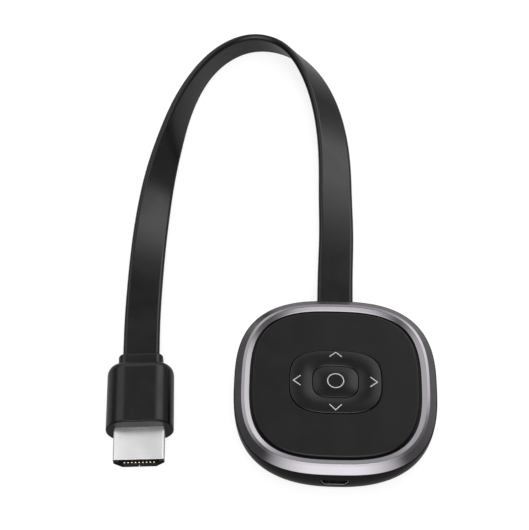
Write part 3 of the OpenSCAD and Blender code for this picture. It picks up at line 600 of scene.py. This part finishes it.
def make_plug_shell(mats):
    """The plug's metal shell, with a seam in its narrow side. Its inside and its rim get a dark metal:
    painted shade.
    """
    outline = port(HDMI_W, HDMI_H, HDMI_LOW_W, HDMI_SIDE)
    outer, lead, inner = (port_loop(outline, HDMI_ROUNDS, d) for d in (0, HDMI_RIM, HDMI_WALL))
    back = BODY_END - HDMI_ROOT
    bm = bmesh.new()
    skin(bm, [level(outer, back), level(outer, TIP - HDMI_RIM), level(lead, TIP), level(inner, TIP),
              level(inner, back)], closed=True)
    seam = bmesh.new()
    block(seam, (-SEAM_W / 2, -HDMI_H, back - 1), (SEAM_W / 2, -HDMI_H / 2 + HDMI_WALL + 0.1, TIP + 1))
    bm = cut(bm, seam)
    # Painted shade: the rim and the inside faces get the dark metal.
    for f in bm.faces:
        middle = f.calc_center_median()
        if middle.z > TIP - HDMI_RIM / 4 or middle.xy.dot(f.normal.xy) < -0.01:
            f.material_index = 1
    shell = finish_mesh("plug_shell_metal", bm, CASE, mats["plug_metal"], ["plug_shell"],
                        place=plug_place(), sharp=25)
    shell.data.materials.append(mats["shell_painted_shade"])
    return shell


def make_contacts(mats):
    """Two rows of contacts along the slot's walls, with round noses just inside the mouth."""
    back = TIP - MOUTH - SLOT_DEEP
    end = TIP - MOUTH - CONTACT_IN
    bm = bmesh.new()
    for count, side in CONTACT_ROWS:
        wall = side * SLOT_TALL / 2
        inner = wall - side * CONTACT_T
        profile = [(wall, back), (inner, back), (inner, end - NOSE_L)]
        profile += [(wall - side * NOSE_R * c, end - NOSE_R + NOSE_R * s) for c, s in cos_sin(0, 90, 15)]
        for i in range(count):
            x = i - (count - 1) / 2
            skin(bm, [[(x + s * CONTACT_W / 2, y, z) for y, z in profile] for s in (-1, 1)])
    return finish_mesh("plug_pins", bm, CASE, mats["contact_gold"], ["plug_contacts"],
                       place=plug_place())


# Case

def belly_loop(share, z, count=256):
    """The case's outside at a share of the way from its straight side down to its round base."""
    return soft_loop(CASE_W / 2 - BASE_IN * share, CASE_D / 2 - BASE_IN * share,
                     mix(CASE_POWER, BASE_POWER, share), 0, z, count)


def shell_loops():
    """Loops of the lower shell, up its outside and down its inside."""
    steps = 24
    loops = [belly_loop(1 + 0.5 / BASE_IN, 0)]
    for k in range(steps + 1):
        a = math.pi / 2 * k / steps
        loops.append(belly_loop(1 - math.sin(a), BELLY_H * (1 - math.cos(a))))
    top = SLOPE_LOW_Z - JOINT_GAP
    outside = [(0, top - 0.3), (0, top - 0.06), (0.02, top - 0.02), (0.06, top), (WALL - 0.1, top),
               (WALL, top - 0.1)]
    inside = [(WALL + INNER_R * (1 - s), FLOOR_T + INNER_R * (1 - c)) for c, s in cos_sin(90, 0, -10)]
    return loops + [case_loop(*p) for p in outside + inside]


def opening(clearance, radii):
    """Outline of the micro-USB socket's opening."""
    socket = port(USB_W, USB_H, USB_LOW_W, USB_SIDE)
    return fillet(offset(socket, -clearance), radii, closed=True, steps=8)


def shell_cutter():
    """What the screws, the vents, the socket and the cable take out of the lower shell."""
    below = -0.5
    cutter = bmesh.new()
    for sx, sy in CORNERS:
        at = (sx * SCREW_X, sy * SCREW_Y)
        bore = [(HEAD_R + HEAD_LEAD, below), (HEAD_R + HEAD_LEAD, 0.0), (HEAD_R, HEAD_LEAD),
                (HEAD_R, HEAD_DEEP), (SCREW_R, HEAD_DEEP), (SCREW_R, BOSS_TOP + 0.65)]
        skin(cutter, [circle(at, r, z) for r, z in bore])
    for i in range(VENT_COUNT):
        x = (i - (VENT_COUNT - 1) / 2) * VENT_PITCH
        left, right = x - VENT_W / 2, x + VENT_W / 2
        outline = fillet([(left, VENT_FRONT), (left, VENT_BACK), (right, VENT_BACK), (right, VENT_FRONT)],
                         [VENT_R] * 4, closed=True)
        skin(cutter, [level(outline, below), level(outline, FLOOR_T + 0.5)])
    hole = opening(USB_GAP, OPENING_ROUNDS)
    wide = opening(USB_GAP + USB_FLARE, FLARE_ROUNDS)
    front = bmesh.new()
    # From in front of the wall, through the flare at its face, to its inside
    skin(front, [level(wide, 1.2), level(wide, 0.42), level(hole, 0.1), level(hole, -3)])
    join(cutter, front, facing_front((0, USB_Y, USB_Z)))
    back = bmesh.new()
    slot = round_rect(EXIT_W / 2, EXIT_H / 2, EXIT_R, steps=5, reach=0.1)
    skin(back, [level(slot, -3), level(slot, 5)])
    join(cutter, back, facing_front(EXIT))
    return cutter


def make_shell(mats):
    """The lower shell, with the screws' bosses on its floor."""
    bm = bmesh.new()
    skin(bm, shell_loops())
    for sx, sy in CORNERS:
        rod(bm, (sx * SCREW_X, sy * SCREW_Y), BOSS_R, FLOOR_T - 0.1, BOSS_TOP)
    bm = cut(bm, shell_cutter())
    finish_mesh("lower_shell", bm, CASE, mats["case_gloss"], ["bottom_shell"])


def make_bezel(mats):
    """The metal ring. The sides of the groove between it and the top plate are black: painted shade in the
    groove.
    """
    points = [(0, SLOPE_LOW_Z), (SLOPE_W, SLOPE_TOP_Z), (SLOPE_W + CREST_W, CREST_Z), (BEZEL_W, LIP_Z),
              (BEZEL_W, LEDGE_Z), (LEDGE_END, LEDGE_Z), (LEDGE_END, RIM_Z),
              (SKIRT_OUT, RIM_Z), (SKIRT_OUT, SKIRT_Z), (SKIRT_IN, SKIRT_Z), (SKIRT_IN, RIM_Z),
              (WALL, RIM_Z), (WALL, SLOPE_LOW_Z)]
    radii = [*BEZEL_ROUNDS, *[0] * (len(points) - len(BEZEL_ROUNDS))]
    profile = supported(fillet(points, radii, closed=True, steps=4), 0.08)
    bm = bmesh.new()
    skin(bm, [case_loop(*p) for p in profile], closed=True)
    ring = finish_mesh("metal_ring", bm, CASE, mats["bezel_metal"], ["bezel_ring"], sharp=40)
    ring.data.materials.append(mats["cover_satin"])
    # Painted shade: the groove's inner wall and ledge take the black plate material, so the groove reads
    # dark.
    groove_painted_shade = {i for i, (inset, z) in enumerate(profile) if inset > BEZEL_W - 0.005 and z > RIM_Z}
    count = len(ring.data.polygons) // len(profile)
    for j in range(len(profile)):
        if j in groove_painted_shade and (j + 1) % len(profile) in groove_painted_shade:
            for f in ring.data.polygons[j * count:(j + 1) * count]:
                f.material_index = 1


def make_cover(mats):
    """The top plate, with the screws' posts and the rocking frame's posts under it."""
    count = 256
    hole_x, hole_y = PAD_W / 2 + KEY_GAP, PAD_D / 2 + KEY_GAP

    def outer(inset, z):
        return case_loop(inset, z, count)

    def inner(out, z):
        return soft_loop(hole_x + out, hole_y + out, PAD_POWER, PAD_Y, z, count)

    rim, edge = outer(PLATE_IN + PLATE_ROUND + 0.3, PLATE_Z), inner(0.5, PLATE_Z)
    bands = 6
    loops = [outer(PLATE_IN, UNDER_Z + 0.2)]
    loops += [outer(PLATE_IN + PLATE_ROUND * (1 - c), PLATE_Z - PLATE_ROUND + PLATE_ROUND * s)
              for c, s in cos_sin(0, 90, 9)]
    loops += [[tuple(mix(p, q, k / bands) for p, q in zip(a, b)) for a, b in zip(rim, edge)]
              for k in range(bands + 1)]
    loops += [inner(HOLE_ROUND * (1 - s), PLATE_Z - HOLE_ROUND + HOLE_ROUND * c)
              for c, s in cos_sin(0, 90, 18)]
    loops += [inner(0, UNDER_Z), outer(PLATE_IN + 1.5, UNDER_Z), outer(PLATE_IN + 1.5, UNDER_Z + 0.2)]
    bm = bmesh.new()
    skin(bm, loops, closed=True)
    top = UNDER_Z + 0.1
    for sx, sy in CORNERS:
        tube(bm, (sx * SCREW_X, sy * SCREW_Y), POST_R, POST_BORE, POST_LOW, top)
        at = (sx * (FRAME_X - KEY_POST_IN), PAD_Y + sy * (FRAME_Y - KEY_POST_IN))
        tube(bm, at, KEY_POST_R, KEY_POST_BORE, KEY_POST_LOW, top)
    for side in (-1, 1):
        x = side * (FRAME_X + FRAME_GAP + YOKE_T / 2)
        block(bm, (x - YOKE_T / 2, PAD_Y - YOKE_D / 2, YOKE_LOW), (x + YOKE_T / 2, PAD_Y + YOKE_D / 2, top))
    finish_mesh("top_plate", bm, CASE, mats["cover_satin"], ["top_cover"])


# Keys

HALVINGS = 30


def pad_top(share):
    """Height of the pad's top at a share of the way from its outer edge to its hole."""
    if share < CREST_SHARE:
        return mix(PAD_EDGE_Z, PAD_CREST_Z, math.sin(math.pi / 2 * share / CREST_SHARE))
    return mix(PAD_INNER_Z, PAD_CREST_Z, math.sin(math.pi / 2 * (1 - share) / (1 - CREST_SHARE)))


def pad_loop(share, out, z):
    """The pad's outline at a share of the way to its hole, moved out by a distance."""
    return soft_loop(mix(PAD_W, HOLE_W, share) / 2 + out, mix(PAD_D, HOLE_D, share) / 2 + out,
                     mix(PAD_POWER, KEY_POWER, share), PAD_Y, z)


def pad_height(x, y):
    """Height of the pad's top at a place."""
    low, high = 0.0, 1.0
    for _ in range(HALVINGS):
        s = (low + high) / 2
        e = mix(PAD_POWER, KEY_POWER, s)
        inside = abs(2 * x / mix(PAD_W, HOLE_W, s)) ** e + abs(2 * (y - PAD_Y) / mix(PAD_D, HOLE_D, s)) ** e
        low, high = (s, high) if inside < 1 else (low, s)
    return pad_top(low)


def key_height(x, y):
    """Height of the select key's top at a place."""
    low, high = 0.0, PILLOW_W
    for _ in range(HALVINGS):
        t = (low + high) / 2
        inside = abs(x / (KEY_W / 2 - t)) ** KEY_POWER + abs((y - PAD_Y) / (KEY_D / 2 - t)) ** KEY_POWER
        low, high = (t, high) if inside < 1 else (low, t)
    return PILLOW_LOW + PILLOW_H * math.sin(math.pi / 2 * low / PILLOW_W)


def make_pad(mats):
    """The ring key: flange, side, top, inner side and hollow underside, with its plungers and two pins."""
    e, half = PAD_ROUND, PAD_ROUND / 2
    width = (PAD_W - HOLE_W + PAD_D - HOLE_D) / 4
    start = 0.35 * e / width * 3
    bands = 40
    loops = [pad_loop(0, FLANGE_W, FLANGE_LOW), pad_loop(0, FLANGE_W, FLANGE_TOP), pad_loop(0, 0, FLANGE_TOP),
             pad_loop(0, 0, PAD_EDGE_Z - 0.6)]
    loops += [pad_loop(0, -e * (1 - c), PAD_EDGE_Z - 0.9 * e + e * s) for c, s in cos_sin(0, 45, 15)]
    for k in range(bands + 1):
        share = start + k * (1 - 2 * start) / bands
        loops.append(pad_loop(share, 0, pad_top(share)))
    loops += [pad_loop(1, half * (1 - c), PAD_INNER_Z - 0.9 * half + half * s)
              for c, s in cos_sin(45, 0, -15)]
    loops += [pad_loop(1, 0, PAD_WEB_Z), pad_loop(0.8, 0, PAD_WEB_Z), pad_loop(0.75, 0, PAD_ROOF_Z),
              pad_loop(0.3, 0, PAD_ROOF_Z), pad_loop(0.2, 0, FLANGE_LOW)]
    bm = bmesh.new()
    skin(bm, loops, closed=True)
    for side in (-1, 1):
        for at in ((side * PLUNGER_X, PAD_Y), (0, PAD_Y + side * PLUNGER_Y)):
            rod(bm, at, PLUNGER_R, PLUNGER_Z, PAD_ROOF_Z + 0.3)
        pin = bmesh.new()
        rod(pin, (0, 0), PIN_R, 0, FRAME_Y - PAD_D / 2 - PIN_GAP, 16)
        join(bm, pin, Matrix.Translation((0, PAD_Y + side * PAD_D / 2, HINGE_Z))
             @ Matrix.Rotation(math.radians(-90 * side), 4, "X"))
    finish_mesh("pad_ring", bm, PAD, mats["key_satin"], ["dpad_ring"], sharp=40)


def make_key(mats):
    """The select key: flange, side and pillow top, with its plunger."""

    def loop(inset, z):
        return soft_loop(KEY_W / 2 - inset, KEY_D / 2 - inset, KEY_POWER, PAD_Y, z)

    steps = 24
    e = PILLOW_ROUND
    low = PLUNGER_Z + 0.2
    loops = [loop(KEY_FLANGE_IN, low), loop(-KEY_FLANGE_OUT, low), loop(-KEY_FLANGE_OUT, low + KEY_FLANGE_T),
             loop(0, low + KEY_FLANGE_T), loop(0, PILLOW_LOW - 0.5)]
    loops += [loop(e * (1 - c), PILLOW_LOW - 0.8 * e + e * s) for c, s in cos_sin(0, 60, 15)]
    loops += [loop(PILLOW_W * k / steps, PILLOW_LOW + PILLOW_H * math.sin(math.pi / 2 * k / steps))
              for k in range(1, steps + 1)]
    loops.append(loop(PILLOW_W + 0.6, PILLOW_LOW + PILLOW_H))
    bm = bmesh.new()
    skin(bm, loops)
    rod(bm, (0, PAD_Y), KEY_PLUNGER_R, PLUNGER_Z, PLUNGER_Z + 0.5)
    finish_mesh("select_button", bm, KEY, mats["key_satin"], ["centre_key"], sharp=40)


def stroke(bm, points, height, closed=False):
    """A printed line on a curved top: points in plan, and height gives the top's height at a place."""
    n = len(points)
    sides = []
    for i, p in enumerate(points):
        here = Vector(p)
        before = Vector(points[i - 1]) if closed or i else None
        after = Vector(points[(i + 1) % n]) if closed or i < n - 1 else None
        u = (here - before).normalized() if before is not None else (after - here).normalized()
        v = (after - here).normalized() if after is not None else u
        side = Vector((-u.y, u.x))
        m = (side + Vector((-v.y, v.x))).normalized()
        reach = MARK_W / 2 / max(0.4, m.dot(side))
        a, b = here + m * reach, here - m * reach
        za, zb = height(a.x, a.y), height(b.x, b.y)
        sides.append([(a.x, a.y, za + MARK_LIFT), (b.x, b.y, zb + MARK_LIFT),
                      (b.x, b.y, zb - MARK_DEEP), (a.x, a.y, za - MARK_DEEP)])
    skin(bm, sides, closed=closed)


def line_between(a, b, step=0.15):
    """Points from one point to another, about a step apart."""
    count = max(1, round(math.dist(a, b) / step))
    return [tuple(mix(p, q, k / count) for p, q in zip(a, b)) for k in range(count + 1)]


def make_marks(mats):
    """The four arrow marks and the round mark."""
    bm = bmesh.new()
    for tip, inward, half, reach in ARROWS:
        side = (-inward[1], inward[0])
        ends = [tuple(tip[k] + inward[k] * reach + s * side[k] * half for k in (0, 1)) for s in (-1, 1)]
        stroke(bm, line_between(ends[0], tip) + line_between(tip, ends[1])[1:], pad_height)
    finish_mesh("arrow_marks", bm, PAD, mats["mark_grey"])
    bm = bmesh.new()
    ring = [(x, y) for x, y, z in circle((0, ROUND_MARK_Y), ROUND_MARK_R, 0, 96)]
    stroke(bm, ring, key_height, closed=True)
    finish_mesh("round_mark", bm, KEY, mats["mark_grey"])


# Socket

def make_socket(mats):
    """The micro-USB socket's metal shell, open at the front."""
    outline = port(USB_W, USB_H, USB_LOW_W, USB_SIDE)
    outer, lip, inner_lip, inner = (port_loop(outline, USB_ROUNDS, d, 0.15)
                                    for d in (0, USB_LIP, USB_WALL - USB_LIP, USB_WALL))
    bm = bmesh.new()
    skin(bm, [level(outer, -USB_DEEP), level(outer, -USB_LIP), level(lip, 0), level(inner_lip, 0),
              level(inner, -USB_LIP), level(inner, -USB_DEEP + USB_WALL)])
    finish_mesh("socket_shell", bm, CASE, mats["socket_metal"], ["micro_usb_shell"],
                place=facing_front((0, USB_Y, USB_Z)), sharp=30)


# Floor and light. Sizes here are in metres.

FLOOR_R, COVE_R, MIDDLE_R = 2.3, 2.6, 0.4
FLOOR_DROP = 0.00002
FLOOR_GREY, FLOOR_GLOW, GLOSSY_SHARE = 0.3, 0.8, 0.3
WHITE = (1, 1, 1, 1)


def make_floor():
    """A round pale floor that curves up at its edge.

    Its glow makes the white background. Glossy rays see a share of it, as in the photograph.
    """
    bm = bmesh.new()
    cove = COVE_R - FLOOR_R
    profile = [(MIDDLE_R, 0.0), (FLOOR_R, 0.0)]
    profile += [(FLOOR_R + cove * s, cove * (1 - c)) for c, s in cos_sin(10, 90, 10)]
    skin(bm, [circle((0, 0), r, z, 96) for r, z in profile], caps=False)
    bm.faces.new([v for v in bm.verts if math.hypot(v.co.x, v.co.y) < MIDDLE_R + 0.01])
    mesh = bpy.data.meshes.new("floor")
    bmesh.ops.recalc_face_normals(bm, faces=bm.faces)
    bm.to_mesh(mesh)
    bm.free()
    for f in mesh.polygons:
        f.use_smooth = True
    floor = bpy.data.objects.new("floor", mesh)
    floor.location.z = -FLOOR_DROP
    bpy.context.scene.collection.objects.link(floor)
    mat = bpy.data.materials.new("floor")
    mat.use_nodes = True
    t = Tree(mat.node_tree)
    diffuse = t.add("ShaderNodeBsdfDiffuse", {"Color": (FLOOR_GREY, FLOOR_GREY, FLOOR_GREY, 1)})
    rays = t.add("ShaderNodeLightPath").outputs
    seen = t.math("MAXIMUM", t.math("MAXIMUM", rays["Is Camera Ray"], rays["Is Transmission Ray"]),
                  t.math("MULTIPLY", rays["Is Glossy Ray"], GLOSSY_SHARE))
    glow = t.add("ShaderNodeEmission", {"Color": WHITE, "Strength": t.math("MULTIPLY", seen, FLOOR_GLOW)})
    both = t.add("ShaderNodeAddShader", {0: diffuse.outputs[0], 1: glow.outputs[0]})
    t.add("ShaderNodeOutputMaterial", {"Surface": both.outputs[0]})
    mesh.materials.append(mat)


def make_light():
    """A studio of large soft lights, each a smooth patch of the world.

    x, y and z are those of a direction, to the right, the back and up. A strip runs from the front to
    overhead. A wide light is low at the back. Two lights are at the left and right of the back, and a dim
    fill grows towards the back and the right.
    """
    world = bpy.data.worlds.new("studio")
    bpy.context.scene.world = world
    world.use_nodes = True
    t = Tree(world.node_tree)
    place = t.add("ShaderNodeTexCoord").outputs["Generated"]
    d = t.add("ShaderNodeSeparateXYZ", {0: place}).outputs
    x, y, z = d["X"], d["Y"], d["Z"]
    # Distance from the strip's middle as a share of its half width, which shrinks towards the top
    wide = t.math("DIVIDE", t.math("ABSOLUTE", t.math("SUBTRACT", x, 0.03)), t.span(y, -0.6, 0, 0.72, 0.36))
    high = t.span(z, 0.4, 0.54)
    strong = t.math("ADD", t.span(y, -0.3, -0.05, 3, 2.6), t.span(y, -0.03, 0.06, 0, 1.5))
    strip = t.product(t.span(wide, 0.15, 1, 1, 0, False), t.span(y, -0.95, -0.7), t.span(y, 0.02, 0.12, 1, 0),
                      strong)
    back = t.product(t.span(wide, 1.2, 1.8, 1, 0), t.span(y, 0.62, 0.78), t.span(z, 0.1, 0.4), 0.75)
    left = t.product(t.span(x, -0.1, -0.28), t.span(x, -0.66, -0.78, 1, 0), t.span(y, 0.12, 0.4), high,
                     t.span(y, 0.58, 0.72, 1.25, 0.7))
    # The right light's near edge moves back at its outer end
    near = t.math("SUBTRACT", y, t.span(x, 0.4, 0.48, 0, 0.08))
    right = t.product(t.span(x, 0.05, 0.3, smooth=False), t.span(x, 0.6, 0.75, 1, 0), t.span(near, 0.3, 0.48),
                      high, t.span(y, 0.68, 0.84, 2.15, 0.3))
    total = t.product(t.span(y, -0.15, 0.5, 0.13, 0.225), t.span(x, -0.7, 0.7, 1, 1.6))
    for glow in (strip, back, left, right):
        total = t.math("ADD", total, glow)
    light = t.add("ShaderNodeBackground", {"Color": WHITE, "Strength": total})
    t.add("ShaderNodeOutputWorld", {"Surface": light.outputs[0]})


# Everything together

def paint_frame(mats):
    """Gives each CAD node that still shows the material of its record slot."""
    for part in frame["record"]["subparts"]:
        obj = frame["nodes"][part["node"]]
        obj.data.materials.clear()
        obj.data.materials.append(mats[part["material_slot"]])


make_camera()
MATS = make_materials()
paint_frame(MATS)
cable, cable_path, cable_length = make_cable(MATS)
plug_pieces = [make_collar(MATS), make_plug_body(MATS), make_plug_shell(MATS), make_contacts(MATS)]
make_shell(MATS)
make_bezel(MATS)
make_cover(MATS)
make_pad(MATS)
make_key(MATS)
make_marks(MATS)
make_socket(MATS)
make_floor()
make_light()
bpy.context.scene.view_settings.view_transform = "Standard"
